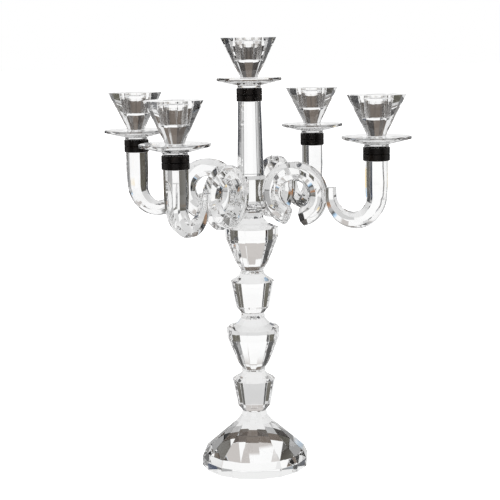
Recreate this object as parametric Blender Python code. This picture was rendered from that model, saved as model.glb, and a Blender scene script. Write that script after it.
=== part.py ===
"""Five-light candelabrum in cut crystal: one light on a centre column, four on bent arms.

Metres, +Z up. The origin is the centre of the foot's underside. Every crystal piece is a
separate solid, bonded to its neighbours across a thin clear film that is left as a gap.
Each light is a candle cup, a drip pan and a neck on a dark metal collar, and it screws onto a
dark metal socket with a short stud.
"""

import math

import bmesh
import bpy
from mathutils import Matrix, Vector

MM = 0.001
GAP = 0.3 * MM  # the film between two bonded or screwed faces
WELD = 1e-6

# Facets
FOOT_SIDES = 16
BEAD_SIDES = 14
HUB_SIDES = 8
COLUMN_SIDES = 16
LIGHT_SIDES = 12
ROD_SIDES = 8
BORE_SIDES = 24
METAL_SIDES = 24

# Stem, from the foot up: (height above the piece's base, distance from the axis to a flat)
FOOT_PROFILE = [(0, 64.8), (10.5, 64.8), (19, 61.2), (54.5, 21.8), (62.5, 16), (68.4, 14.8)]
SMALL_BEAD_PROFILE = [(0, 14.6), (6.4, 20), (39.5, 26.2), (44.5, 18), (48.5, 14.4), (53, 14)]
LARGE_BEAD_PROFILE = [(0, 14.2), (8.6, 19.4), (39, 31.4), (52, 31.8), (56.6, 20.4), (63.5, 14.6), (70.4, 14.2)]
HUB_PROFILE = [(0, 14.6), (2.8, 19), (7.2, 19), (11, 17.5), (40.3, 17.5), (44.3, 16.6)]
COLUMN_PROFILE = [(0, 16.2), (88.5, 14.1), (88.5, 12.2), (91.7, 12.2)]
# (name, profile, sides, the angle one flat faces in degrees)
STEM = [
    ("foot", FOOT_PROFILE, FOOT_SIDES, -95),
    ("bead_small_lower", SMALL_BEAD_PROFILE, BEAD_SIDES, -91),
    ("bead_large_lower", LARGE_BEAD_PROFILE, BEAD_SIDES, -92),
    ("bead_small_upper", SMALL_BEAD_PROFILE, BEAD_SIDES, -92),
    ("bead_large_upper", LARGE_BEAD_PROFILE, BEAD_SIDES, -92),
    ("hub", HUB_PROFILE, HUB_SIDES, -29.6),
    ("column", COLUMN_PROFILE, COLUMN_SIDES, -90),
]

# Arms: each is a C-shaped scroll bonded to the hub and a tapered J-shaped rod bonded to the scroll
ARM_ANGLES = {"front_right": -29.6, "back_right": 60.4, "back_left": 150.4, "front_left": 240.4}
ARM_REACH = 165.4 * MM
ARM_TOP = 384.2 * MM
ROD_FLAT_ANGLE = math.radians(-15)
ROD_APOTHEM = 12.9 * MM
ROD_TIP_APOTHEM = 6.8 * MM
ROD_SPIGOT_APOTHEM = 11.7 * MM
ROD_TAPER_START = 29 * MM
ROD_TAPER_POWER = 1.3
BEND_RADIUS = 29.1 * MM
BEND_CENTRE_HEIGHT = 343.3 * MM
BEND_STEPS = 18
TIP_HEIGHT = 351 * MM
SPIGOT_LENGTH = 3.2 * MM

SCROLL_CENTRE = (60 * MM, 340.7 * MM)
SCROLL_HALF_WIDTH = 31 * MM
SCROLL_HALF_HEIGHT = 28 * MM
SCROLL_APOTHEM = 11 * MM
SCROLL_OPENING = math.radians(20)  # half the angle left open at the bottom
SCROLL_STEPS = 36
HUB_BOND = 17.5 * MM  # distance of the hub's flat from the axis
ROD_BOND = 101.2 * MM  # distance from the axis of the flat ground on the scroll for its rod

# Light, heights above the underside of its metal socket
METAL_RADIUS = 15.6
METAL_EDGE = 0.5  # chamfer on the metal's outer edges
METAL_BORE = 13
STUD_HOLE = 5.3
STUD_RADIUS = 5 * MM
SOCKET_SPAN = (0, 7.5)
SOCKET_WEB = 3.3  # underside of the socket's wall, which the stud goes through
COLLAR_SPAN = (7.8, 15.3)
COLLAR_WEB = 11.4  # top of the collar's wall
STUD_SPAN = (3.4, 11.3)
NECK_PROFILE = [(11.7, 12.7), (15.6, 12.7), (15.6, 14.4), (18.5, 14.4)]
PAN_PROFILE = [(18.8, 16.3), (24.5, 38.6), (27.9, 38.6)]
CUP_PROFILE = [(28.2, 10.3), (74.9, 32.9)]
BORE_PROFILE = [(74.9, 12.2), (74.1, 11.2), (50.5, 11.2)]
CENTRE_LIGHT_HEIGHT = 450.1 * MM
ARM_LIGHT_HEIGHT = 384.5 * MM
# how far each light has turned when it is tight, in degrees
LIGHT_TURNS = {"centre": 0, "front_right": 6, "back_right": 10, "back_left": -8, "front_left": -4}


def clear_scene():
    """Remove every object that is already in the scene."""
    for item in list(bpy.data.objects):
        bpy.data.objects.remove(item, do_unlink=True)


def make_material(name, colour, roughness, metallic=0.0, transmission=0.0):
    """Make a Principled material."""
    material = bpy.data.materials.new(name)
    material.use_nodes = True
    shader = material.node_tree.nodes["Principled BSDF"]
    shader.inputs["Base Color"].default_value = (*colour, 1)
    shader.inputs["Roughness"].default_value = roughness
    shader.inputs["Metallic"].default_value = metallic
    shader.inputs["Transmission Weight"].default_value = transmission
    shader.inputs["IOR"].default_value = 1.52
    return material


def add_object(name, bm, material, location=(0, 0, 0), turn=0.0):
    """Close the mesh, turn its faces outwards and place it in the scene."""
    bmesh.ops.remove_doubles(bm, verts=bm.verts, dist=WELD)
    bmesh.ops.recalc_face_normals(bm, faces=bm.faces)
    mesh = bpy.data.meshes.new(name)
    bm.to_mesh(mesh)
    bm.free()
    mesh.materials.append(material)
    item = bpy.data.objects.new(name, mesh)
    item.location = location
    item.rotation_euler.z = turn
    bpy.context.scene.collection.objects.link(item)
    return item


def polygon_radius(angle, sides):
    """Distance from the centre of a regular polygon of unit apothem to its edge, flats at angle 0."""
    half = math.pi / sides
    return 1 / math.cos((angle + half) % (2 * half) - half)


def skin(rings, points, place):
    """A closed solid through rings of vertices: place(ring, angle) gives each vertex's position."""
    bm = bmesh.new()
    bmesh.ops.create_grid(bm, x_segments=rings - 1, y_segments=points, size=0.5)
    for vert in bm.verts:
        ring = round((vert.co.x + 0.5) * (rings - 1))
        vert.co = place(ring, 2 * math.pi * (vert.co.y + 0.5))
    bmesh.ops.remove_doubles(bm, verts=bm.verts, dist=WELD)
    ends = [edge for edge in bm.edges if edge.is_boundary]
    bmesh.ops.holes_fill(bm, edges=ends)
    return bm


def stacked_solid(rings, points):
    """A solid of stacked rings: each ring is (height in mm, radius as a function of angle in mm)."""

    def place(ring, angle):
        height, radius = rings[ring]
        reach = radius(angle) * MM
        return Vector((reach * math.cos(angle), reach * math.sin(angle), height * MM))

    return skin(len(rings), points, place)


def faceted_rings(profile, sides):
    """Rings of a regular polygon with a flat facing +X, for stacked_solid."""
    return [(height, lambda angle, a=apothem: a * polygon_radius(angle, sides)) for height, apothem in profile]


def round_rings(profile):
    """Round rings, for stacked_solid."""
    return [(height, lambda angle, r=radius: r) for height, radius in profile]


def polygon_points(sides):
    """Twice as many points as sides, so that a polygon's corners and the middles of its flats both lie on it."""
    return 2 * sides


def add_stem_piece(name, profile, sides, facing, base, material):
    """Add one faceted piece of the stem with a flat facing the given angle, and return its top."""
    bm = stacked_solid(faceted_rings(profile, sides), polygon_points(sides))
    bmesh.ops.dissolve_limit(bm, angle_limit=math.radians(0.5), verts=bm.verts, edges=bm.edges)
    add_object(name, bm, material, location=(0, 0, base), turn=math.radians(facing))
    return base + profile[-1][0] * MM


def metal_profile(span, web, bore_low):
    """Closed section of one half of the metal ferrule: bore_low puts its wide bore at the bottom."""
    low, high = span
    outer = [
        (low, METAL_RADIUS - METAL_EDGE),
        (low + METAL_EDGE, METAL_RADIUS),
        (high - METAL_EDGE, METAL_RADIUS),
        (high, METAL_RADIUS - METAL_EDGE),
    ]
    if bore_low:
        inner = [(high, STUD_HOLE), (web, STUD_HOLE), (web, METAL_BORE), (low, METAL_BORE)]
    else:
        inner = [(high, METAL_BORE), (web, METAL_BORE), (web, STUD_HOLE), (low, STUD_HOLE)]
    return outer + inner


def spun_ring(profile):
    """Spin a closed profile of (height, radius) in mm into a ring about the Z axis."""
    bm = bmesh.new()
    verts = [bm.verts.new((radius * MM, 0, height * MM)) for height, radius in profile]
    edges = [bm.edges.new((a, b)) for a, b in zip(verts, verts[1:] + verts[:1])]
    bmesh.ops.spin(
        bm,
        geom=verts + edges,
        axis=(0, 0, 1),
        cent=(0, 0, 0),
        angle=2 * math.pi,
        steps=METAL_SIDES,
        use_merge=True,
    )
    return bm


def grind_flat(bm, distance, keep_outside):
    """Grind a flat across the X axis at the given distance, keeping the far or the near side."""
    normal = Vector((-1, 0, 0)) if keep_outside else Vector((1, 0, 0))
    cut = bmesh.ops.bisect_plane(
        bm,
        geom=bm.verts[:] + bm.edges[:] + bm.faces[:],
        plane_co=(distance, 0, 0),
        plane_no=normal,
        clear_outer=True,
    )["geom_cut"]
    rim = [item for item in cut if isinstance(item, bmesh.types.BMEdge)]
    bmesh.ops.holes_fill(bm, edges=rim)


def swept_rod(stations, flat_angle):
    """Sweep an octagon through stations (point, tangent, outward normal, apothem), all in the XZ plane."""
    half = math.pi / ROD_SIDES

    def place(ring, angle):
        point, tangent, normal, apothem = stations[ring]
        corner = apothem / math.cos(half)
        turned = angle + flat_angle + half
        return point + corner * (math.cos(turned) * normal + math.sin(turned) * tangent.cross(normal))

    return skin(len(stations), ROD_SIDES, place)


def rod_stations():
    """Stations of the J-shaped rod, from its spigot down, round the bend and up to its cut tip."""
    down = Vector((0, 0, -1))
    outward = Vector((1, 0, 0))
    bend_centre = Vector((ARM_REACH - BEND_RADIUS, 0, BEND_CENTRE_HEIGHT))
    taper_length = (
        ARM_TOP - ROD_TAPER_START - BEND_CENTRE_HEIGHT + math.pi * BEND_RADIUS + TIP_HEIGHT - BEND_CENTRE_HEIGHT
    )

    def apothem(travelled):
        left = 1 - max(0.0, travelled - ROD_TAPER_START) / taper_length
        return ROD_TIP_APOTHEM + (ROD_APOTHEM - ROD_TIP_APOTHEM) * left**ROD_TAPER_POWER

    stations = [
        (Vector((ARM_REACH, 0, ARM_TOP + SPIGOT_LENGTH)), down, outward, ROD_SPIGOT_APOTHEM),
        (Vector((ARM_REACH, 0, ARM_TOP)), down, outward, ROD_SPIGOT_APOTHEM),
        (Vector((ARM_REACH, 0, ARM_TOP)), down, outward, ROD_APOTHEM),
        (Vector((ARM_REACH, 0, ARM_TOP - ROD_TAPER_START)), down, outward, ROD_APOTHEM),
    ]
    straight = ARM_TOP - BEND_CENTRE_HEIGHT
    for step in range(BEND_STEPS + 1):
        swept = math.pi * step / BEND_STEPS
        out = Vector((math.cos(swept), 0, -math.sin(swept)))
        along = Vector((-math.sin(swept), 0, -math.cos(swept)))
        size = apothem(straight + BEND_RADIUS * swept)
        stations.append((bend_centre + BEND_RADIUS * out, along, out, size))
    tip = Vector((ARM_REACH - 2 * BEND_RADIUS, 0, TIP_HEIGHT))
    stations.append((tip, -down, -outward, ROD_TIP_APOTHEM))
    return stations


def scroll_stations():
    """Stations of the C-shaped scroll, from one open end over the top to the other."""
    centre = Vector((SCROLL_CENTRE[0], 0, SCROLL_CENTRE[1]))
    first = -math.pi / 2 + SCROLL_OPENING
    sweep = 2 * (math.pi - SCROLL_OPENING)
    stations = []
    for step in range(SCROLL_STEPS + 1):
        angle = first + sweep * step / SCROLL_STEPS
        offset = Vector((SCROLL_HALF_WIDTH * math.cos(angle), 0, SCROLL_HALF_HEIGHT * math.sin(angle)))
        along = Vector((-SCROLL_HALF_WIDTH * math.sin(angle), 0, SCROLL_HALF_HEIGHT * math.cos(angle))).normalized()
        out = Vector((along.z, 0, -along.x))
        stations.append((centre + offset, along, out, SCROLL_APOTHEM))
    return stations


def add_arm(side, angle, crystal):
    """Add one arm: its scroll, ground flat for the hub and for the rod, and its rod."""
    turn = math.radians(angle)
    scroll = swept_rod(scroll_stations(), 0.0)
    grind_flat(scroll, HUB_BOND + GAP, keep_outside=True)
    grind_flat(scroll, ROD_BOND, keep_outside=False)
    add_object(f"scroll_{side}", scroll, crystal, turn=turn)
    rod = swept_rod(rod_stations(), ROD_FLAT_ANGLE)
    grind_flat(rod, ROD_BOND + GAP, keep_outside=True)
    add_object(f"arm_rod_{side}", rod, crystal, turn=turn)


def candle_cup():
    """A twelve-sided flared cup with a round blind bore for the candle."""
    rings = faceted_rings(CUP_PROFILE, LIGHT_SIDES) + round_rings(BORE_PROFILE)
    return stacked_solid(rings, BORE_SIDES)


def stud():
    """The stud that joins a light's collar to its socket, without its thread."""
    low, high = STUD_SPAN
    bm = bmesh.new()
    bmesh.ops.create_cone(
        bm,
        cap_ends=True,
        segments=BORE_SIDES,
        radius1=STUD_RADIUS,
        radius2=STUD_RADIUS,
        depth=(high - low) * MM,
        matrix=Matrix.Translation((0, 0, (high + low) / 2 * MM)),
    )
    return bm


def add_light(side, location, crystal, metal, steel):
    """Add the six pieces of one light on top of its column or rod."""
    turn = math.radians(LIGHT_TURNS[side])
    socket = spun_ring(metal_profile(SOCKET_SPAN, SOCKET_WEB, bore_low=True))
    add_object(f"socket_{side}", socket, metal, location)
    add_object(f"stud_{side}", stud(), steel, location)
    collar = spun_ring(metal_profile(COLLAR_SPAN, COLLAR_WEB, bore_low=False))
    add_object(f"collar_{side}", collar, metal, location)
    add_object(f"neck_{side}", stacked_solid(round_rings(NECK_PROFILE), METAL_SIDES), crystal, location)
    pan = stacked_solid(faceted_rings(PAN_PROFILE, LIGHT_SIDES), polygon_points(LIGHT_SIDES))
    bmesh.ops.dissolve_limit(pan, angle_limit=math.radians(0.5), verts=pan.verts, edges=pan.edges)
    add_object(f"drip_pan_{side}", pan, crystal, location, turn)
    add_object(f"candle_cup_{side}", candle_cup(), crystal, location, turn)


def main():
    """Build the stem, the arms and the lights."""
    clear_scene()
    crystal = make_material("crystal", (0.97, 0.98, 0.98), 0.0, transmission=1.0)
    metal = make_material("bronzed_metal", (0.02, 0.014, 0.012), 0.35, metallic=0.8)
    steel = make_material("steel", (0.6, 0.6, 0.6), 0.3, metallic=1.0)

    height = 0.0
    for name, profile, sides, facing in STEM:
        height = add_stem_piece(name, profile, sides, facing, height, crystal) + GAP

    add_light("centre", (0, 0, CENTRE_LIGHT_HEIGHT), crystal, metal, steel)
    for side, angle in ARM_ANGLES.items():
        add_arm(side, angle, crystal)
        reach = math.radians(angle)
        place = (ARM_REACH * math.cos(reach), ARM_REACH * math.sin(reach), ARM_LIGHT_HEIGHT)
        add_light(side, place, crystal, metal, steel)


main()
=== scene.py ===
import logging
import math
from collections.abc import Sequence
from dataclasses import dataclass, field
from enum import Enum

import bmesh
import bpy
from bmesh.types import BMesh, BMFace, BMVert
from mathutils import Matrix, Vector


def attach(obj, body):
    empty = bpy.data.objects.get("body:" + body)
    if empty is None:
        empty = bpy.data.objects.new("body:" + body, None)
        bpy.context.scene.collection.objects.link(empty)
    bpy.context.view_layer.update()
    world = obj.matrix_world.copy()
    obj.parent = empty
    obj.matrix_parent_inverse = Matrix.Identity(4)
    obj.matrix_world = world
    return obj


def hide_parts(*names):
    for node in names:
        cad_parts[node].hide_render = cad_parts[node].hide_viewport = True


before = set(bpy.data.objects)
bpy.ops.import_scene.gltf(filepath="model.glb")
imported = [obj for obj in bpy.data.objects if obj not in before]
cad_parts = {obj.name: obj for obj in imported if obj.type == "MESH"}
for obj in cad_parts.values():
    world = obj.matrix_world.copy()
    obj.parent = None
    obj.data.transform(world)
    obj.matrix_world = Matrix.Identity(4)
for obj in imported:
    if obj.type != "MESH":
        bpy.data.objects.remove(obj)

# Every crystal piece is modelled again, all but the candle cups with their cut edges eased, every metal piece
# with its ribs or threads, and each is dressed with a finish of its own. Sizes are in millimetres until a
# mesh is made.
"""Finished look of a five-light candelabrum in cut crystal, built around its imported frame.

Every crystal piece is modelled again with its cut edges eased, every metal piece with its ribs or
threads, and each is dressed with a finish of its own. Sizes are in millimetres until a mesh is made.
"""

LOG = logging.getLogger("candelabrum")
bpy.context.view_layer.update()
MM = 0.001
WELD = 1e-6
GAP = 0.3
SHALLOW = 8.0
STEEP = 30.0
Profile = Sequence[tuple[float, float]]


class Position(Enum):
    """Where a light stands: its name, its arm's angle and how far the light is turned, in degrees."""

    CENTRE = ("centre", None, 0.0)
    FRONT_RIGHT = ("front_right", -29.6, 6.0)
    BACK_RIGHT = ("back_right", 60.4, 10.0)
    BACK_LEFT = ("back_left", 150.4, -8.0)
    FRONT_LEFT = ("front_left", 240.4, -4.0)

    @property
    def label(self) -> str:
        """Name used for the pieces of this position."""
        return self.value[0]

    @property
    def angle(self) -> float | None:
        """Angle of the arm about the stem in degrees, or None on the column."""
        return self.value[1]

    @property
    def turn(self) -> float:
        """Angle in degrees at which this light has come tight on its thread."""
        return self.value[2]


class Slot(Enum):
    """Material slots of the record."""

    CRYSTAL = "crystal"
    METAL = "bronzed_metal"
    STEEL = "steel"


# --------------------------------------------------------------------------- shader building


class NodeSheet:
    """A small helper that adds and wires shader nodes in one tree."""

    def __init__(self, tree: bpy.types.NodeTree) -> None:
        """Start on a tree.

        Args:
            tree: The node tree to add to.
        """
        self.tree = tree

    def add(self, kind: str, **settings: object) -> bpy.types.Node:
        """Add one node.

        Args:
            kind: The node's type name.
            **settings: Properties to set on the node.

        Returns:
            The new node.
        """
        node = self.tree.nodes.new(kind)
        for name, value in settings.items():
            setattr(node, name, value)
        return node

    def link(self, source: bpy.types.NodeSocket, target: bpy.types.NodeSocket) -> None:
        """Wire an output to an input."""
        self.tree.links.new(source, target)

    def feed(self, target: bpy.types.NodeSocket, value: object) -> None:
        """Wire a socket or set a plain value on an input."""
        if isinstance(value, bpy.types.NodeSocket):
            self.link(value, target)
        else:
            target.default_value = value

    def maths(self, operation: str, *values: object) -> bpy.types.NodeSocket:
        """Add a Math node.

        Args:
            operation: The operation's name.
            *values: Sockets or numbers for its inputs.

        Returns:
            Its output.
        """
        node = self.add("ShaderNodeMath", operation=operation)
        for socket, value in zip(node.inputs, values):
            self.feed(socket, value)
        return node.outputs[0]

    def blend(self, factor: object, first: object, second: object) -> bpy.types.NodeSocket:
        """Mix two colours.

        Args:
            factor: Socket or number, 0 gives the first colour.
            first: Socket or colour.
            second: Socket or colour.

        Returns:
            The mixed colour.
        """
        node = self.add("ShaderNodeMix", data_type="RGBA", blend_type="MIX")
        self.feed(node.inputs[0], factor)
        self.feed(node.inputs[6], first)
        self.feed(node.inputs[7], second)
        return node.outputs[2]

    def ramp(
        self, value: bpy.types.NodeSocket, stops: Sequence[tuple[float, Sequence[float]]]
    ) -> bpy.types.NodeSocket:
        """Add a colour ramp.

        Args:
            value: The number to look up.
            stops: Places from 0 to 1 with their colours, in order.

        Returns:
            The ramp's colour.
        """
        node = self.add("ShaderNodeValToRGB")
        self.link(value, node.inputs[0])
        elements = node.color_ramp.elements
        for index, (place, colour) in enumerate(stops):
            element = elements[index] if index < len(elements) else elements.new(place)
            element.position = place
            element.color = (*colour, 1.0)
        return node.outputs[0]

    def span(self, value: object, low: float, high: float, first: float, last: float) -> bpy.types.NodeSocket:
        """Map a range of numbers onto another with a smooth step.

        Args:
            value: The number to map.
            low: Start of the range it comes from.
            high: End of the range it comes from.
            first: What low becomes.
            last: What high becomes.

        Returns:
            The mapped number.
        """
        node = self.add("ShaderNodeMapRange", interpolation_type="SMOOTHSTEP")
        for socket, given in zip(node.inputs[:5], (value, low, high, first, last)):
            self.feed(socket, given)
        return node.outputs[0]


HAZE_RANGE = (0.48, 0.72)
SPECK_RANGE = (0.66, 0.74)


def handling_group() -> bpy.types.NodeTree:
    """Build the shared group of marks that handling leaves on a polished surface.

    Returns:
        A group that puts out a broad haze, fine specks and a slow unevenness, each from 0 to 1.
    """
    group = bpy.data.node_groups.new("Handling marks", "ShaderNodeTree")
    face = group.interface
    face.new_socket("Haze Scale", in_out="INPUT", socket_type="NodeSocketFloat").default_value = 30.0
    face.new_socket("Speck Scale", in_out="INPUT", socket_type="NodeSocketFloat").default_value = 900.0
    face.new_socket("Wave Scale", in_out="INPUT", socket_type="NodeSocketFloat").default_value = 60.0
    for name in ("Haze", "Specks", "Wave"):
        face.new_socket(name, in_out="OUTPUT", socket_type="NodeSocketFloat")
    sheet = NodeSheet(group)
    given = sheet.add("NodeGroupInput")
    result = sheet.add("NodeGroupOutput")
    place = sheet.add("ShaderNodeTexCoord").outputs["Object"]

    def noise(scale: bpy.types.NodeSocket, detail: float) -> bpy.types.NodeSocket:
        """One noise on the object's own coordinates."""
        node = sheet.add("ShaderNodeTexNoise")
        sheet.link(place, node.inputs["Vector"])
        sheet.link(scale, node.inputs["Scale"])
        node.inputs["Detail"].default_value = detail
        return node.outputs[0]

    sheet.link(sheet.span(noise(given.outputs[0], 4.0), *HAZE_RANGE, 0.0, 1.0), result.inputs[0])
    sheet.link(sheet.span(noise(given.outputs[1], 2.0), *SPECK_RANGE, 0.0, 1.0), result.inputs[1])
    sheet.link(noise(given.outputs[2], 1.0), result.inputs[2])
    return group


@dataclass(frozen=True)
class Marks:
    """The handling marks of one finish."""

    haze_scale: float
    speck_scale: float
    wave_scale: float

    def place(self, sheet: NodeSheet, group: bpy.types.NodeTree) -> bpy.types.Node:
        """Put the shared group into a material with this finish's scales.

        Args:
            sheet: The material's node helper.
            group: The shared group.

        Returns:
            The group node.
        """
        node = sheet.add("ShaderNodeGroup")
        node.node_tree = group
        for socket, scale in zip(node.inputs, (self.haze_scale, self.speck_scale, self.wave_scale)):
            socket.default_value = scale
        return node


@dataclass(frozen=True)
class CrystalFinish:
    """Clear cut crystal, polished, with a trace of haze where it is handled."""

    name: str
    clear: tuple[float, float, float] = (1.0, 1.0, 1.0)
    tinted: tuple[float, float, float] = (0.985, 0.99, 0.988)
    ior: float = 1.52
    haze_roughness: float = 0.006
    wave_height: float = 0.000004
    marks: Marks = field(default=Marks(24.0, 700.0, 45.0))

    def material(self, group: bpy.types.NodeTree) -> bpy.types.Material:
        """Build the material.

        Args:
            group: The shared handling group.

        Returns:
            The crystal.
        """
        material = bpy.data.materials.new(self.name)
        material.use_nodes = True
        sheet = NodeSheet(material.node_tree)
        shader = material.node_tree.nodes["Principled BSDF"]
        marks = self.marks.place(sheet, group)
        colour = sheet.blend(marks.outputs[0], (*self.clear, 1), (*self.tinted, 1))
        sheet.link(colour, shader.inputs["Base Color"])
        rough = sheet.maths("MULTIPLY", marks.outputs[0], self.haze_roughness)
        rough = sheet.maths("ADD", rough, sheet.maths("MULTIPLY", marks.outputs[1], self.haze_roughness))
        sheet.link(rough, shader.inputs["Roughness"])
        bump = sheet.add("ShaderNodeBump")
        bump.inputs["Distance"].default_value = self.wave_height
        sheet.link(marks.outputs[2], bump.inputs["Height"])
        sheet.link(bump.outputs[0], shader.inputs["Normal"])
        shader.inputs["IOR"].default_value = self.ior
        shader.inputs["Transmission Weight"].default_value = 1.0
        return material


@dataclass(frozen=True)
class MetalFinish:
    """A metal whose colour wears to a second colour and whose gloss is uneven."""

    name: str
    base: tuple[float, float, float]
    worn: tuple[float, float, float]
    roughness: float
    spread: float
    metallic: float
    haze_wear: float = 0.6
    pit_depth: float = 0.00002
    pit_strength: float = 0.4
    marks: Marks = field(default=Marks(90.0, 1500.0, 300.0))

    def material(self, group: bpy.types.NodeTree) -> bpy.types.Material:
        """Build the material.

        Args:
            group: The shared handling group.

        Returns:
            The metal.
        """
        material = bpy.data.materials.new(self.name)
        material.use_nodes = True
        sheet = NodeSheet(material.node_tree)
        shader = material.node_tree.nodes["Principled BSDF"]
        marks = self.marks.place(sheet, group)
        haze = sheet.maths("MULTIPLY", marks.outputs[0], self.haze_wear)
        wear = sheet.maths("MAXIMUM", haze, marks.outputs[1])
        sheet.link(sheet.blend(wear, (*self.base, 1), (*self.worn, 1)), shader.inputs["Base Color"])
        smoother, rougher = self.roughness - self.spread, self.roughness + self.spread
        rough = sheet.span(marks.outputs[2], 0.3, 0.7, smoother, rougher)
        sheet.link(rough, shader.inputs["Roughness"])
        bump = sheet.add("ShaderNodeBump")
        bump.inputs["Distance"].default_value = self.pit_depth
        bump.inputs["Strength"].default_value = self.pit_strength
        sheet.link(marks.outputs[1], bump.inputs["Height"])
        sheet.link(bump.outputs[0], shader.inputs["Normal"])
        shader.inputs["Metallic"].default_value = self.metallic
        return material


class Finishes:
    """The materials of the whole object, each built once."""

    def __init__(self) -> None:
        """Build every finish."""
        group = handling_group()
        self.stem = CrystalFinish("stem crystal").material(group)
        self.arms = CrystalFinish("arm crystal", marks=Marks(32.0, 800.0, 70.0)).material(group)
        self.lights = CrystalFinish("light crystal", marks=Marks(40.0, 900.0, 80.0)).material(group)
        self.bronzed = MetalFinish(
            "bronzed metal", (0.007, 0.005, 0.0045), (0.022, 0.014, 0.009), 0.3, 0.08, 0.6
        ).material(group)
        self.steel = MetalFinish(
            "stud steel", (0.55, 0.55, 0.54), (0.35, 0.34, 0.33), 0.28, 0.08, 1.0
        ).material(group)


# --------------------------------------------------------------------------- shape helpers


def is_face(item: object) -> bool:
    """Whether an element of an operator's result is a face."""
    return isinstance(item, BMFace)


def grow(bm: BMesh, face: BMFace, keep: bool = False) -> BMFace:
    """Extrude an end face in place.

    Args:
        bm: The mesh.
        face: The end face.
        keep: Keep the old face as the closed start of the solid.

    Returns:
        The new end face.
    """
    made = bmesh.ops.extrude_face_region(bm, geom=[face])["geom"]
    if not keep:
        bmesh.ops.delete(bm, geom=[face], context="FACES_ONLY")
    return next(filter(is_face, made))


def polygon_disc(bm: BMesh, sides: int, apothem: float, facing: float, matrix: Matrix = Matrix()) -> BMFace:
    """Start a solid from a filled regular polygon.

    Args:
        bm: The mesh.
        sides: How many sides.
        apothem: Distance from the centre to a flat, in mm.
        facing: Angle that one flat faces, in degrees.
        matrix: Where the polygon stands.

    Returns:
        The filled face.
    """
    half = math.pi / sides
    turn = math.radians(facing - 90) - half
    bmesh.ops.create_circle(
        bm,
        cap_ends=True,
        segments=sides,
        radius=apothem * MM / math.cos(half),
        matrix=matrix @ Matrix.Rotation(turn, 4, "Z"),
    )
    return next(iter(bm.faces))


def raise_levels(bm: BMesh, face: BMFace, levels: Profile) -> BMFace:
    """Carry an end face up through levels by extruding and scaling it.

    Args:
        bm: The mesh.
        face: The filled face at the first level.
        levels: Height and apothem of each level in mm, the first being where the face is.

    Returns:
        The last end face.
    """
    for index, (low, high) in enumerate(zip(levels, levels[1:])):
        face = grow(bm, face, keep=index == 0)
        verts = list(face.verts)
        bmesh.ops.translate(bm, verts=verts, vec=(0, 0, (high[0] - low[0]) * MM))
        ratio = high[1] / low[1]
        bmesh.ops.scale(bm, verts=verts, vec=(ratio, ratio, 1))
    return face


def ease_edges(bm: BMesh, width: float, angle: float) -> None:
    """Take a small chamfer off every edge sharper than an angle.

    Args:
        bm: The mesh.
        width: Chamfer width in mm.
        angle: Smallest angle between faces in degrees.
    """
    limit = math.radians(angle)
    edges = [edge for edge in bm.edges if len(edge.link_faces) == 2 and edge.calc_face_angle(0.0) > limit]
    bmesh.ops.bevel(
        bm,
        geom=edges,
        offset=width * MM,
        offset_type="OFFSET",
        segments=1,
        profile=0.5,
        material=-1,
        affect="EDGES",
        clamp_overlap=True,
    )


def cut_solid(levels: Profile, sides: int, facing: float, ease: float = 0.25) -> BMesh:
    """A solid with flat facets, standing on its first level.

    Args:
        levels: Height and apothem of each level in mm.
        sides: How many facets around.
        facing: Angle that one flat faces, in degrees.
        ease: Width of the chamfer on its edges in mm.

    Returns:
        The closed mesh.
    """
    bm = bmesh.new()
    face = polygon_disc(bm, sides, levels[0][1], facing)
    bmesh.ops.translate(bm, verts=bm.verts, vec=(0, 0, levels[0][0] * MM))
    raise_levels(bm, face, levels)
    bmesh.ops.recalc_face_normals(bm, faces=bm.faces)
    ease_edges(bm, ease, SHALLOW)
    return bm


def spun(outline: Profile, steps: int) -> BMesh:
    """Turn a closed outline about the Z axis.

    Args:
        outline: Height and radius of each corner in mm, in order round the section.
        steps: How many steps a full turn has.

    Returns:
        The ring.
    """
    bm = bmesh.new()
    verts = [bm.verts.new((radius * MM, 0, height * MM)) for height, radius in outline]
    section = bm.faces.new(verts)
    bmesh.ops.delete(bm, geom=[section], context="FACES_ONLY")
    geometry = bm.verts[:] + bm.edges[:]
    bmesh.ops.spin(
        bm,
        geom=geometry,
        axis=(0, 0, 1),
        cent=(0, 0, 0),
        angle=2 * math.pi,
        steps=steps,
        use_merge=True,
    )
    bmesh.ops.remove_doubles(bm, verts=bm.verts, dist=WELD)
    bmesh.ops.recalc_face_normals(bm, faces=bm.faces)
    return bm


@dataclass(frozen=True)
class Station:
    """One place along a bent rod in the XZ plane, in mm, and its outward side's angle from +X in radians."""

    x: float
    z: float
    angle: float
    apothem: float

    def matrix(self, first: float) -> Matrix:
        """Transform that takes an outline of the first station's apothem, drawn in XY, to this place.

        Args:
            first: Apothem of the outline in mm.

        Returns:
            The transform.
        """
        outward = Vector((math.cos(self.angle), 0, math.sin(self.angle)))
        along = Vector((math.sin(self.angle), 0, -math.cos(self.angle)))
        across = along.cross(outward)
        scale = self.apothem / first
        turn = Matrix((outward * scale, across * scale, along)).transposed().to_4x4()
        return Matrix.Translation((self.x * MM, 0, self.z * MM)) @ turn


def bent_rod(stations: Sequence[Station], sides: int, facing: float) -> BMesh:
    """Carry a polygon through stations.

    Args:
        stations: The places along the rod, in order.
        sides: How many sides the rod has.
        facing: Angle of one flat from the outward side, in degrees.

    Returns:
        The closed mesh.
    """
    bm = bmesh.new()
    first = stations[0].apothem
    face = polygon_disc(bm, sides, first, facing, stations[0].matrix(first))
    for index, (old, new) in enumerate(zip(stations, stations[1:])):
        face = grow(bm, face, keep=index == 0)
        move = new.matrix(first) @ old.matrix(first).inverted()
        bmesh.ops.transform(bm, matrix=move, verts=list(face.verts))
    bmesh.ops.recalc_face_normals(bm, faces=bm.faces)
    return bm


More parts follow.
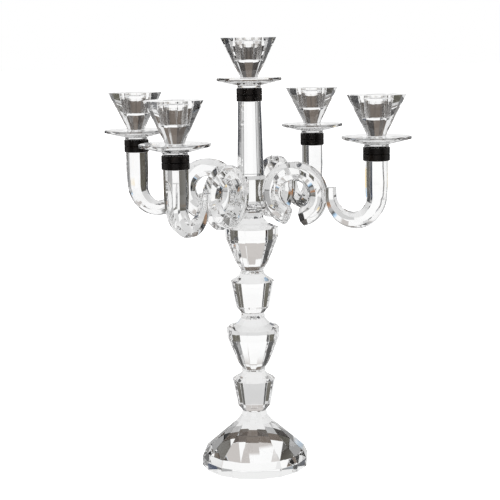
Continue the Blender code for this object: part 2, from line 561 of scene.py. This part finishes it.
def grind(bm: BMesh, distance: float, away: bool) -> None:
    """Grind a flat square to +X.

    Args:
        bm: The mesh.
        distance: Where the flat is along X, in mm.
        away: Keep what lies beyond the flat instead of what lies before it.
    """
    cut = bmesh.ops.bisect_plane(
        bm,
        geom=bm.verts[:] + bm.edges[:] + bm.faces[:],
        plane_co=(distance * MM, 0, 0),
        plane_no=(-1 if away else 1, 0, 0),
        clear_outer=True,
    )["geom_cut"]
    bmesh.ops.holes_fill(bm, edges=[item for item in cut if isinstance(item, bmesh.types.BMEdge)])
    bmesh.ops.recalc_face_normals(bm, faces=bm.faces)


class Fitter:
    """Places finished meshes in the scene and ties them to the frame."""

    def __init__(self) -> None:
        """Start with no pieces placed."""
        self.count = 0

    def fit(
        self,
        bm: BMesh,
        name: str,
        node: str,
        body: str,
        slot: Slot,
        material: bpy.types.Material,
        sharp: float = 5.0,
        place: Matrix = Matrix(),
    ) -> bpy.types.Object:
        """Make the object of one piece.

        Args:
            bm: The finished mesh, freed here.
            name: The piece's name.
            node: The frame node that it stands for.
            body: The frame body that it moves with.
            slot: The record's material slot; not used.
            material: Its finish.
            sharp: Smallest angle in degrees between faces that stays a crisp edge.
            place: Where the piece stands, taken into its mesh.

        Returns:
            The object.
        """
        bmesh.ops.transform(bm, matrix=place, verts=bm.verts)
        mesh = bpy.data.meshes.new(name)
        bm.to_mesh(mesh)
        bm.free()
        mesh.shade_smooth()
        mesh.set_sharp_from_angle(angle=math.radians(sharp))
        mesh.materials.append(material)
        piece = bpy.data.objects.new(name, mesh)
        bpy.context.scene.collection.objects.link(piece)
        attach(piece, body)
        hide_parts(node)
        self.count += 1
        LOG.info("%s: %d faces", name, len(mesh.polygons))
        return piece


# --------------------------------------------------------------------------- stem


@dataclass(frozen=True)
class StemPiece:
    """One cut piece of the stem: levels in mm above its own underside."""

    node: str
    levels: Profile
    sides: int
    facing: float


FOOT_LEVELS = ((0, 64.8), (10.5, 64.8), (19, 61.2), (54.5, 21.8), (62.5, 16), (68.4, 14.8))
SMALL_BEAD_LEVELS = ((0, 14.6), (6.4, 20), (39.5, 26.2), (44.5, 18), (48.5, 14.4), (53, 14))
LARGE_BEAD_LEVELS = ((0, 14.2), (8.6, 19.4), (39, 31.4), (52, 31.8), (56.6, 20.4), (63.5, 14.6), (70.4, 14.2))
HUB_LEVELS = ((0, 14.6), (2.8, 19), (7.2, 19), (11, 17.5), (40.3, 17.5), (44.3, 16.6))
COLUMN_LEVELS = ((0, 16.2), (88.5, 14.1), (88.5, 12.2), (91.7, 12.2))


@dataclass
class Stem:
    """The bonded stack of foot, beads, hub and column."""

    pieces: tuple[StemPiece, ...] = (
        StemPiece("foot", FOOT_LEVELS, 16, -95),
        StemPiece("bead_small_lower", SMALL_BEAD_LEVELS, 14, -91),
        StemPiece("bead_large_lower", LARGE_BEAD_LEVELS, 14, -92),
        StemPiece("bead_small_upper", SMALL_BEAD_LEVELS, 14, -92),
        StemPiece("bead_large_upper", LARGE_BEAD_LEVELS, 14, -92),
        StemPiece("hub", HUB_LEVELS, 8, -29.6),
        StemPiece("column", COLUMN_LEVELS, 16, -90),
    )
    ease: float = 0.25

    def build(self, fitter: Fitter, finishes: Finishes) -> None:
        """Model and dress the stack.

        Args:
            fitter: Places the pieces.
            finishes: The object's materials.
        """
        height = 0.0
        for piece in self.pieces:
            bm = cut_solid(piece.levels, piece.sides, piece.facing, self.ease)
            place = Matrix.Translation((0, 0, height * MM))
            fitter.fit(bm, f"{piece.node}_cut", piece.node, "stand", Slot.CRYSTAL, finishes.stem, place=place)
            height += piece.levels[-1][0] + GAP


# --------------------------------------------------------------------------- arms


@dataclass
class Arm:
    """A C-shaped scroll bonded to the hub, and a J-shaped rod bonded to the scroll."""

    position: Position
    sides: int = 8
    reach: float = 165.4
    top: float = 384.2
    rod_facing: float = -15.0
    rod_apothem: float = 12.9
    tip_apothem: float = 6.8
    spigot_apothem: float = 11.7
    spigot: float = 3.2
    taper_start: float = 29.0
    taper_power: float = 1.3
    bend_radius: float = 29.1
    bend_height: float = 343.3
    bend_steps: int = 48
    tip_height: float = 351.0
    scroll_x: float = 60.0
    scroll_z: float = 340.7
    scroll_half_width: float = 31.0
    scroll_half_height: float = 28.0
    scroll_apothem: float = 11.0
    scroll_opening: float = 20.0
    scroll_steps: int = 96
    hub_bond: float = 17.5
    rod_bond: float = 101.2
    ease: float = 0.2
    sharp: float = 15.0

    def apothem_at(self, travelled: float) -> float:
        """Half-thickness of the rod.

        Args:
            travelled: Distance from the rod's top in mm.

        Returns:
            Its apothem in mm.
        """
        length = self.top - self.bend_height + math.pi * self.bend_radius + self.tip_height - self.bend_height
        length -= self.taper_start
        left = 1 - max(0.0, travelled - self.taper_start) / length
        return self.tip_apothem + (self.rod_apothem - self.tip_apothem) * left**self.taper_power

    def rod_stations(self) -> list[Station]:
        """Places along the rod, from the spigot under the light to the cut tip.

        Returns:
            The stations.
        """
        straight = self.top - self.bend_height
        stations = [
            Station(self.reach, self.top + self.spigot, 0.0, self.spigot_apothem),
            Station(self.reach, self.top, 0.0, self.spigot_apothem),
            Station(self.reach, self.top, 0.0, self.rod_apothem),
            Station(self.reach, self.top - self.taper_start, 0.0, self.rod_apothem),
        ]
        centre = self.reach - self.bend_radius
        for step in range(self.bend_steps + 1):
            swept = math.pi * step / self.bend_steps
            x = centre + self.bend_radius * math.cos(swept)
            z = self.bend_height - self.bend_radius * math.sin(swept)
            stations.append(Station(x, z, -swept, self.apothem_at(straight + self.bend_radius * swept)))
        stations.append(Station(centre - self.bend_radius, self.tip_height, -math.pi, self.tip_apothem))
        return stations

    def scroll_stations(self) -> list[Station]:
        """Places round the scroll, from its outer open end over the top to its inner one.

        Returns:
            The stations.
        """
        first = math.radians(-90 + self.scroll_opening)
        sweep = math.radians(360 - 2 * self.scroll_opening)
        stations = []
        for step in range(self.scroll_steps + 1):
            angle = first + sweep * step / self.scroll_steps
            x = self.scroll_x + self.scroll_half_width * math.cos(angle)
            z = self.scroll_z + self.scroll_half_height * math.sin(angle)
            rise = self.scroll_half_width * math.sin(angle)
            lean = math.atan2(rise, self.scroll_half_height * math.cos(angle))
            stations.append(Station(x, z, lean, self.scroll_apothem))
        return stations

    def build(self, fitter: Fitter, finishes: Finishes) -> None:
        """Model and dress the arm.

        Args:
            fitter: Places the pieces.
            finishes: The object's materials.
        """
        label = self.position.label
        place = Matrix.Rotation(math.radians(self.position.angle), 4, "Z")
        scroll = bent_rod(self.scroll_stations(), self.sides, 0.0)
        grind(scroll, self.hub_bond + GAP, away=True)
        grind(scroll, self.rod_bond, away=False)
        ease_edges(scroll, self.ease, STEEP)
        fitter.fit(
            scroll,
            f"scroll_{label}_cut",
            f"scroll_{label}",
            "stand",
            Slot.CRYSTAL,
            finishes.arms,
            self.sharp,
            place,
        )
        rod = bent_rod(self.rod_stations(), self.sides, self.rod_facing)
        grind(rod, self.rod_bond + GAP, away=True)
        ease_edges(rod, self.ease, STEEP)
        fitter.fit(
            rod,
            f"arm_rod_{label}_cut",
            f"arm_rod_{label}",
            "stand",
            Slot.CRYSTAL,
            finishes.arms,
            self.sharp,
            place,
        )


# --------------------------------------------------------------------------- lights


@dataclass
class Light:
    """A cup, drip pan and neck on a ribbed collar, screwed onto a ribbed socket. Heights in mm."""

    position: Position
    reach: float = 165.4
    centre_height: float = 450.1
    arm_height: float = 384.5
    sides: int = 12
    round_steps: int = 96
    socket: tuple[float, float] = (0.0, 7.5)
    collar: tuple[float, float] = (7.8, 15.3)
    metal_radius: float = 15.6
    socket_bore: float = 13.0
    stud_hole: float = 5.3
    rib_count: int = 5
    rib_depth: float = 0.35
    rib_outline: tuple[float, ...] = (0.3, 0.45, 0.7, 0.85)
    rim_chamfer: float = 0.5
    rim_land: float = 0.7
    socket_web: float = 3.3
    collar_web: float = 11.4
    stud: tuple[float, float] = (3.4, 11.3)
    stud_radius: float = 5.0
    stud_segments: int = 32
    thread_depth: float = 0.5
    thread_margin: float = 0.1
    thread_width: float = 0.8
    thread_steps: int = 24
    pitch: float = 1.0
    neck: Profile = ((11.7, 12.7), (15.6, 12.7), (15.6, 14.4), (18.5, 14.4))
    pan: Profile = ((18.8, 16.3), (24.5, 38.6), (27.9, 38.6))
    cup: Profile = ((28.2, 10.3), (74.9, 32.9))
    bore: Profile = ((74.9, 12.2), (74.1, 11.3), (51.2, 11.3), (50.5, 10.7))
    flutes: int = 32
    flute_depth: float = 0.12
    facet_cuts: int = 15
    ease: float = 0.2
    sharp_turned: float = 20.0
    sharp_thread: float = 25.0
    sharp_pan: float = 5.0
    sharp_cup: float = 12.0

    def place(self) -> Matrix:
        """Where the underside of this light's socket is.

        Returns:
            The transform.
        """
        if self.position.angle is None:
            return Matrix.Translation((0, 0, self.centre_height * MM))
        reach = math.radians(self.position.angle)
        x, y = self.reach * math.cos(reach), self.reach * math.sin(reach)
        return Matrix.Translation((x * MM, y * MM, self.arm_height * MM))

    def ribs(self, low: float, high: float) -> list[tuple[float, float]]:
        """Outer outline of a ribbed half of the ferrule.

        Args:
            low: Height of its underside.
            high: Height of its top.

        Returns:
            Heights and radii from the bottom up.
        """
        outer, chamfer = self.metal_radius, self.rim_chamfer
        radii = (outer, outer - self.rib_depth, outer - self.rib_depth, outer)
        step = (high - low - 2 * self.rim_land) / self.rib_count
        outline = [(low, outer - chamfer), (low + chamfer, outer)]
        for rib in range(self.rib_count):
            base = low + self.rim_land + rib * step
            outline += [(base + share * step, radius) for share, radius in zip(self.rib_outline, radii)]
        return outline + [(high - chamfer, outer), (high, outer - chamfer)]

    def metal_ring(self, low: float, high: float, web: float, web_low: bool) -> BMesh:
        """One half of the ferrule.

        Args:
            low: Height of its underside.
            high: Height of its top.
            web: Height of the inner side of the wall that the stud goes through.
            web_low: The wall is at the bottom, as in the collar.

        Returns:
            The ring.
        """
        upper, lower = self.stud_hole, self.socket_bore
        if web_low:
            upper, lower = lower, upper
        outline = self.ribs(low, high) + [(high, upper), (web, upper), (web, lower), (low, lower)]
        return spun(outline, self.round_steps)

    def threaded_stud(self) -> BMesh:
        """The stud: a core with a helical ridge.

        Returns:
            The mesh.
        """
        low, high = self.stud
        core = self.stud_radius - self.thread_depth
        bm = bmesh.new()
        bmesh.ops.create_cone(
            bm,
            cap_ends=True,
            segments=self.stud_segments,
            radius1=core * MM,
            radius2=core * MM,
            depth=(high - low) * MM,
            matrix=Matrix.Translation((0, 0, (high + low) / 2 * MM)),
        )
        margin, width = self.thread_margin, self.thread_width * self.pitch
        start = low + margin
        turns = (high - low - 2 * margin - width) / self.pitch
        steps = round(turns * self.thread_steps)
        inner, outer = (core - margin) * MM, self.stud_radius * MM
        heights = (0.0, width / 2, width)
        corners = [bm.verts.new((r, 0, (start + h) * MM)) for r, h in zip((inner, outer, inner), heights)]
        face = bm.faces.new(corners)
        bmesh.ops.spin(
            bm,
            geom=[face, *face.edges, *face.verts],
            axis=(0, 0, 1),
            cent=(0, 0, 0),
            dvec=(0, 0, self.pitch * turns / steps * MM),
            angle=2 * math.pi * turns,
            steps=steps,
        )
        bmesh.ops.recalc_face_normals(bm, faces=bm.faces)
        return bm

    def round_solid(self, levels: Profile) -> BMesh:
        """A turned crystal piece.

        Args:
            levels: Height and radius of each level.

        Returns:
            The mesh.
        """
        bm = bmesh.new()
        face = polygon_disc(bm, self.round_steps, levels[0][1], 0.0)
        bmesh.ops.translate(bm, verts=bm.verts, vec=(0, 0, levels[0][0] * MM))
        raise_levels(bm, face, levels)
        bmesh.ops.recalc_face_normals(bm, faces=bm.faces)
        ease_edges(bm, self.ease, STEEP)
        return bm

    def flute(self, vert: BMVert, height: float, radius: float, depth: float) -> None:
        """Move one point of the bore's wall onto its fluted outline.

        Args:
            vert: The point.
            height: Its height.
            radius: The bore's radius at the crest between two flutes.
            depth: How deep a flute is cut.
        """
        count = self.sides * (self.facet_cuts + 1)
        step = 2 * math.pi / count
        angle = round(math.atan2(vert.co.y, vert.co.x) / step) * step
        cut = depth * abs(math.sin(angle * self.flutes / 2))
        reach = (radius + cut) * MM
        vert.co = (reach * math.cos(angle), reach * math.sin(angle), height * MM)

    def candle_cup(self) -> BMesh:
        """The flared cup with its fluted bore.

        Returns:
            The mesh.
        """
        bm = bmesh.new()
        face = polygon_disc(bm, self.sides, self.cup[0][1], 0.0)
        bmesh.ops.subdivide_edges(bm, edges=list(face.edges), cuts=self.facet_cuts)
        bmesh.ops.translate(bm, verts=bm.verts, vec=(0, 0, self.cup[0][0] * MM))
        face = raise_levels(bm, next(iter(bm.faces)), self.cup)
        for height, radius in self.bore:
            face = grow(bm, face)
            for vert in face.verts:
                self.flute(vert, height, radius, self.flute_depth)
        bmesh.ops.recalc_face_normals(bm, faces=bm.faces)
        return bm

    def build(self, fitter: Fitter, finishes: Finishes) -> None:
        """Model and dress the light.

        Args:
            fitter: Places the pieces.
            finishes: The object's materials.
        """
        label = self.position.label
        place = self.place()
        turned = place @ Matrix.Rotation(math.radians(self.position.turn), 4, "Z")
        light, screw = f"light_{label}", f"screw_{label}"
        socket = self.metal_ring(*self.socket, self.socket_web, web_low=False)
        bronze, steel = (Slot.METAL, finishes.bronzed), (Slot.STEEL, finishes.steel)
        clear = (Slot.CRYSTAL, finishes.lights)
        turned_edge, cup_edge = self.sharp_turned, self.sharp_cup
        fitter.fit(socket, f"socket_{label}_ribbed", f"socket_{label}", "stand", *bronze, turned_edge, place)
        collar = self.metal_ring(*self.collar, self.collar_web, web_low=True)
        fitter.fit(collar, f"collar_{label}_ribbed", f"collar_{label}", light, *bronze, turned_edge, place)
        stud = self.threaded_stud()
        fitter.fit(stud, f"stud_{label}_cut", f"stud_{label}", screw, *steel, self.sharp_thread, place)
        neck = self.round_solid(self.neck)
        fitter.fit(neck, f"neck_{label}_cut", f"neck_{label}", light, *clear, turned_edge, place)
        pan = cut_solid(self.pan, self.sides, 0.0, self.ease)
        fitter.fit(pan, f"drip_pan_{label}_cut", f"drip_pan_{label}", light, *clear, self.sharp_pan, turned)
        cup = self.candle_cup()
        fitter.fit(cup, f"candle_cup_{label}_cut", f"candle_cup_{label}", light, *clear, cup_edge, turned)


# --------------------------------------------------------------------------- studio


Tone = tuple[float, float, float]
# Tones of the painted reflections in the glass and metal; WHITE is also the plain background.
WHITE: Tone = (1.0, 1.0, 1.0)
BLACK: Tone = (0.008, 0.008, 0.009)
SLATE: Tone = (0.06, 0.068, 0.085)
ASH: Tone = (0.095, 0.088, 0.07)
OLIVE: Tone = (0.1, 0.095, 0.06)
FOG: Tone = (0.42, 0.42, 0.42)
LINEN: Tone = (0.57, 0.54, 0.52)
MIST: Tone = (0.66, 0.66, 0.66)
PEARL: Tone = (0.86, 0.86, 0.86)
BROWN: Tone = (0.165, 0.135, 0.112)
UMBER: Tone = (0.05, 0.043, 0.038)
AMBER: Tone = (1.0, 0.8, 0.42)
RUST: Tone = (0.42, 0.2, 0.09)
STEEL_BLUE: Tone = (0.035, 0.055, 0.11)
SKY: Tone = (0.5, 0.72, 0.95)
CORNER_TONES = ((24.0, FOG), (30.0, ASH), (34.0, BLACK), (39.0, BLACK), (42.0, FOG))


@dataclass(frozen=True)
class Belt:
    """One level belt of the painted reflection round the object, the same on its four sides and four corners.
    """

    start: float
    fade: float
    tones: tuple[tuple[float, Tone], ...]

    def stops(self, sector: float) -> list[tuple[float, Tone]]:
        """Tones from the middle of a side to the middle of a corner.

        Args:
            sector: The angle between the two, in degrees.

        Returns:
            Ramp stops.
        """
        return [(angle / sector, tone) for angle, tone in self.tones]


@dataclass
class Studio:
    """White floor, soft white surrounding light, a painted reflection of pale panels with dark strips between
    them that only glass and metal see, and the camera.
    """

    belts: tuple[Belt, ...] = (
        Belt(-90, 0, ((0.0, PEARL), (24.0, PEARL), (32.0, ASH), (45.0, ASH))),
        Belt(-42, 3, ((0.0, PEARL), (24.0, PEARL), (45.0, MIST))),
        Belt(-24, 2, ((0.0, MIST), (24.0, MIST), (45.0, PEARL))),
        Belt(
            -10,
            1.5,
            ((24.0, WHITE), (25.5, FOG), (29.0, FOG), (30.5, ASH), (34.0, ASH), (35.0, BLACK), (45.0, SLATE)),
        ),
        Belt(
            -2.5,
            1,
            (
                (23.0, WHITE),
                (24.0, AMBER),
                (25.0, FOG),
                (28.0, FOG),
                (29.0, RUST),
                (30.5, OLIVE),
                (33.5, ASH),
                (35.0, BLACK),
                (42.0, BLACK),
                (43.0, STEEL_BLUE),
                (44.5, SLATE),
            ),
        ),
        Belt(
            6,
            1.5,
            ((23.0, WHITE), (24.5, SKY), (26.0, BLACK), (34.0, BLACK), (35.0, SLATE), (45.0, UMBER)),
        ),
        Belt(14.5, 1, ((0.0, LINEN), (21.0, LINEN), *CORNER_TONES)),
        Belt(18.7, 0.1, ((0.0, WHITE), (21.0, WHITE), *CORNER_TONES)),
        Belt(25.5, 0.6, ((0.0, BROWN), (22.0, BROWN), (27.0, BLACK))),
        Belt(
            27.5,
            0.6,
            ((0.0, BROWN), (22.0, BROWN), (25.0, BLACK), (35.0, BLACK), (37.0, BROWN), (40.0, BLACK)),
        ),
        Belt(34, 2, ((0.0, UMBER), (5.0, BLACK), (19.0, BLACK), (22.0, BROWN), (35.0, UMBER), (45.0, BLACK))),
        Belt(41.5, 1, ((0.0, PEARL), (14.0, PEARL), (17.0, UMBER), (30.0, FOG))),
        Belt(46, 1, ((0.0, BROWN), (20.0, UMBER), (30.0, FOG))),
        Belt(52, 3, ((0.0, FOG), (45.0, MIST))),
    )
    # Where the painted dark strips of the reflection stand, lean and fade.
    strip_middle: float = 40.0
    strip_lean: float = 1.2
    strip_half: float = 5.0
    strip_span: tuple[float, float] = (-25.0, -9.0)
    strip_blur: float = 0.7
    strip_end_blur: float = 1.0
    floor_size: float = 40.0
    floor_grey: float = 0.8
    floor_roughness: float = 0.9
    floor_lift: float = 0.9
    # Size, drop and tones of the painted floor reflection disc.
    floor_reflection_radius: float = 2.0
    floor_reflection_drop: float = 0.0005
    floor_reflection_tones: tuple[tuple[float, Tone], ...] = ((0.0, PEARL), (0.4, PEARL), (1.0, MIST))
    camera_lens: float = 91.29
    camera_distance: float = 1.52475
    camera_height: float = 0.52649
    camera_yaw: float = -0.0827
    camera_pitch: float = 9.5709
    camera_roll: float = -0.9586

    def painted_leaning_strips(
        self, sheet: NodeSheet, side: bpy.types.NodeSocket, angle: bpy.types.NodeSocket
    ) -> bpy.types.NodeSocket:
        """Where the painted dark strips of the reflection lie, leaning in towards the floor.

        Args:
            sheet: The world's node helper.
            side: Angle from the middle of a side, in degrees.
            angle: Angle above the horizon, in degrees.

        Returns:
            1 on a strip and 0 off it.
        """
        middle = sheet.maths("MULTIPLY_ADD", angle, self.strip_lean, self.strip_middle)
        off = sheet.maths("ABSOLUTE", sheet.maths("SUBTRACT", side, middle))
        half, blur, end = self.strip_half, self.strip_blur, self.strip_end_blur
        inside = sheet.span(off, half - blur, half + blur, 1.0, 0.0)
        low, high = self.strip_span
        over = sheet.span(angle, low - end, low + end, 0.0, 1.0)
        under = sheet.span(angle, high - end, high + end, 1.0, 0.0)
        return sheet.maths("MULTIPLY", inside, sheet.maths("MULTIPLY", over, under))

    def surround(self) -> None:
        """Build the surrounding light: plain white to the camera and to diffuse light, and a painted
        reflection of belts and dark strips that only glossy and transmission rays see.
        """
        world = bpy.data.worlds.new("white light and painted reflection")
        bpy.context.scene.world = world
        world.use_nodes = True
        sheet = NodeSheet(world.node_tree)
        back = world.node_tree.nodes["Background"]
        direction = sheet.add("ShaderNodeTexCoord").outputs["Generated"]
        parts = sheet.add("ShaderNodeSeparateXYZ")
        sheet.link(direction, parts.inputs[0])
        azimuth = sheet.maths("ARCTAN2", parts.outputs[0], parts.outputs[1])
        sector = math.pi / 4
        folded = sheet.maths("PINGPONG", azimuth, sector)
        across = sheet.maths("DIVIDE", folded, sector)
        angle = sheet.maths("DEGREES", sheet.maths("ARCSINE", parts.outputs[2]))
        # Painted reflection: belts of pale, grey, brown and black round the object, shown only to glossy and
        # transmission rays.
        painted_reflection = sheet.ramp(across, self.belts[0].stops(math.degrees(sector)))
        for belt in self.belts[1:]:
            above = sheet.span(angle, belt.start - belt.fade, belt.start + belt.fade, 0.0, 1.0)
            painted_reflection = sheet.blend(above, painted_reflection, sheet.ramp(across, belt.stops(math.degrees(sector))))
        strips = self.painted_leaning_strips(sheet, sheet.maths("DEGREES", folded), angle)
        painted_reflection = sheet.blend(strips, painted_reflection, (*BLACK, 1))
        path = sheet.add("ShaderNodeLightPath")
        through = sheet.maths("MAXIMUM", path.outputs["Is Glossy Ray"], path.outputs["Is Transmission Ray"])
        # Camera and diffuse rays see plain white; only glass and metal see the painted reflection.
        sheet.link(sheet.blend(through, (*WHITE, 1), painted_reflection), back.inputs["Color"])
        back.inputs["Strength"].default_value = 1.0

    def floor(self) -> None:
        """Lay the pale floor, which the glass looks past to the painted reflections round it."""
        bm = bmesh.new()
        bmesh.ops.create_grid(bm, x_segments=1, y_segments=1, size=self.floor_size / 2)
        mesh = bpy.data.meshes.new("floor")
        bm.to_mesh(mesh)
        bm.free()
        floor = bpy.data.objects.new("floor", mesh)
        bpy.context.scene.collection.objects.link(floor)
        material = bpy.data.materials.new("pale floor")
        material.use_nodes = True
        sheet = NodeSheet(material.node_tree)
        shader = material.node_tree.nodes["Principled BSDF"]
        shader.inputs["Base Color"].default_value = (*[self.floor_grey] * 3, 1)
        shader.inputs["Roughness"].default_value = self.floor_roughness
        shader.inputs["Specular IOR Level"].default_value = 0.0
        shader.inputs["Emission Color"].default_value = (1, 1, 1, 1)
        path = sheet.add("ShaderNodeLightPath")
        lift = sheet.maths("MULTIPLY", path.outputs["Is Camera Ray"], self.floor_lift)
        sheet.link(lift, shader.inputs["Emission Strength"])
        mesh.materials.append(material)
        floor.visible_transmission = False
        floor.visible_glossy = False

    def floor_reflection_disc(self) -> None:
        """Lay a glowing disc round the foot, a painted reflection of a pale floor that only the glass and the
        metal see.
        """
        bm = bmesh.new()
        bmesh.ops.create_circle(bm, cap_ends=True, segments=64, radius=self.floor_reflection_radius)
        bmesh.ops.translate(bm, verts=bm.verts, vec=(0, 0, -self.floor_reflection_drop))
        mesh = bpy.data.meshes.new("painted_floor_reflection")
        bm.to_mesh(mesh)
        bm.free()
        floor_reflection_disc = bpy.data.objects.new("painted_floor_reflection", mesh)
        bpy.context.scene.collection.objects.link(floor_reflection_disc)
        material = bpy.data.materials.new("painted floor reflection")
        material.use_nodes = True
        sheet = NodeSheet(material.node_tree)
        shader = material.node_tree.nodes["Principled BSDF"]
        reach = sheet.add("ShaderNodeVectorMath", operation="LENGTH")
        sheet.link(sheet.add("ShaderNodeTexCoord").outputs["Object"], reach.inputs[0])
        # Painted floor reflection: a glowing disc, pale near the foot and greyer further out, that only
        # glossy and transmission rays see and that lights nothing.
        across = sheet.maths("DIVIDE", reach.outputs["Value"], self.floor_reflection_radius)
        stops = [(distance / self.floor_reflection_radius, tone) for distance, tone in self.floor_reflection_tones]
        sheet.link(sheet.ramp(across, stops), shader.inputs["Emission Color"])
        shader.inputs["Base Color"].default_value = (0, 0, 0, 1)
        shader.inputs["Specular IOR Level"].default_value = 0.0
        shader.inputs["Emission Strength"].default_value = 1.0
        mesh.materials.append(material)
        floor_reflection_disc.visible_camera = False
        floor_reflection_disc.visible_diffuse = False
        floor_reflection_disc.visible_shadow = False

    def camera(self) -> None:
        """Stand the camera in front of the object."""
        yaw, pitch, roll = (math.radians(a) for a in (self.camera_yaw, self.camera_pitch, self.camera_roll))
        ahead = Vector((math.sin(yaw) * math.cos(pitch), math.cos(yaw) * math.cos(pitch), -math.sin(pitch)))
        level = Vector((math.cos(yaw), -math.sin(yaw), 0))
        above = level.cross(ahead)
        right = math.cos(roll) * level + math.sin(roll) * above
        up = -math.sin(roll) * level + math.cos(roll) * above
        data = bpy.data.cameras.new("camera")
        data.lens = self.camera_lens
        data.sensor_width = 36.0
        camera = bpy.data.objects.new("camera", data)
        turn = Matrix((right, up, -ahead)).transposed().to_4x4()
        camera.matrix_world = Matrix.Translation((0, -self.camera_distance, self.camera_height)) @ turn
        bpy.context.scene.collection.objects.link(camera)
        bpy.context.scene.camera = camera

    def build(self) -> None:
        """Set up the light, the floor, the camera and the plain view."""
        self.surround()
        self.floor()
        self.floor_reflection_disc()
        self.camera()
        scene = bpy.context.scene
        scene.view_settings.view_transform = "Standard"
        scene.cycles.max_bounces = 32
        scene.cycles.transmission_bounces = 32
        scene.cycles.glossy_bounces = 16


def main() -> None:
    """Build the candelabrum piece by piece, then the studio around it."""
    logging.basicConfig(level=logging.INFO, format="%(name)s: %(message)s")
    finishes = Finishes()
    fitter = Fitter()
    Stem().build(fitter, finishes)
    for position in Position:
        if position.angle is not None:
            Arm(position).build(fitter, finishes)
        Light(position).build(fitter, finishes)
    Studio().build()
    LOG.info("%d pieces placed", fitter.count)


if __name__ == "__main__":
    main()
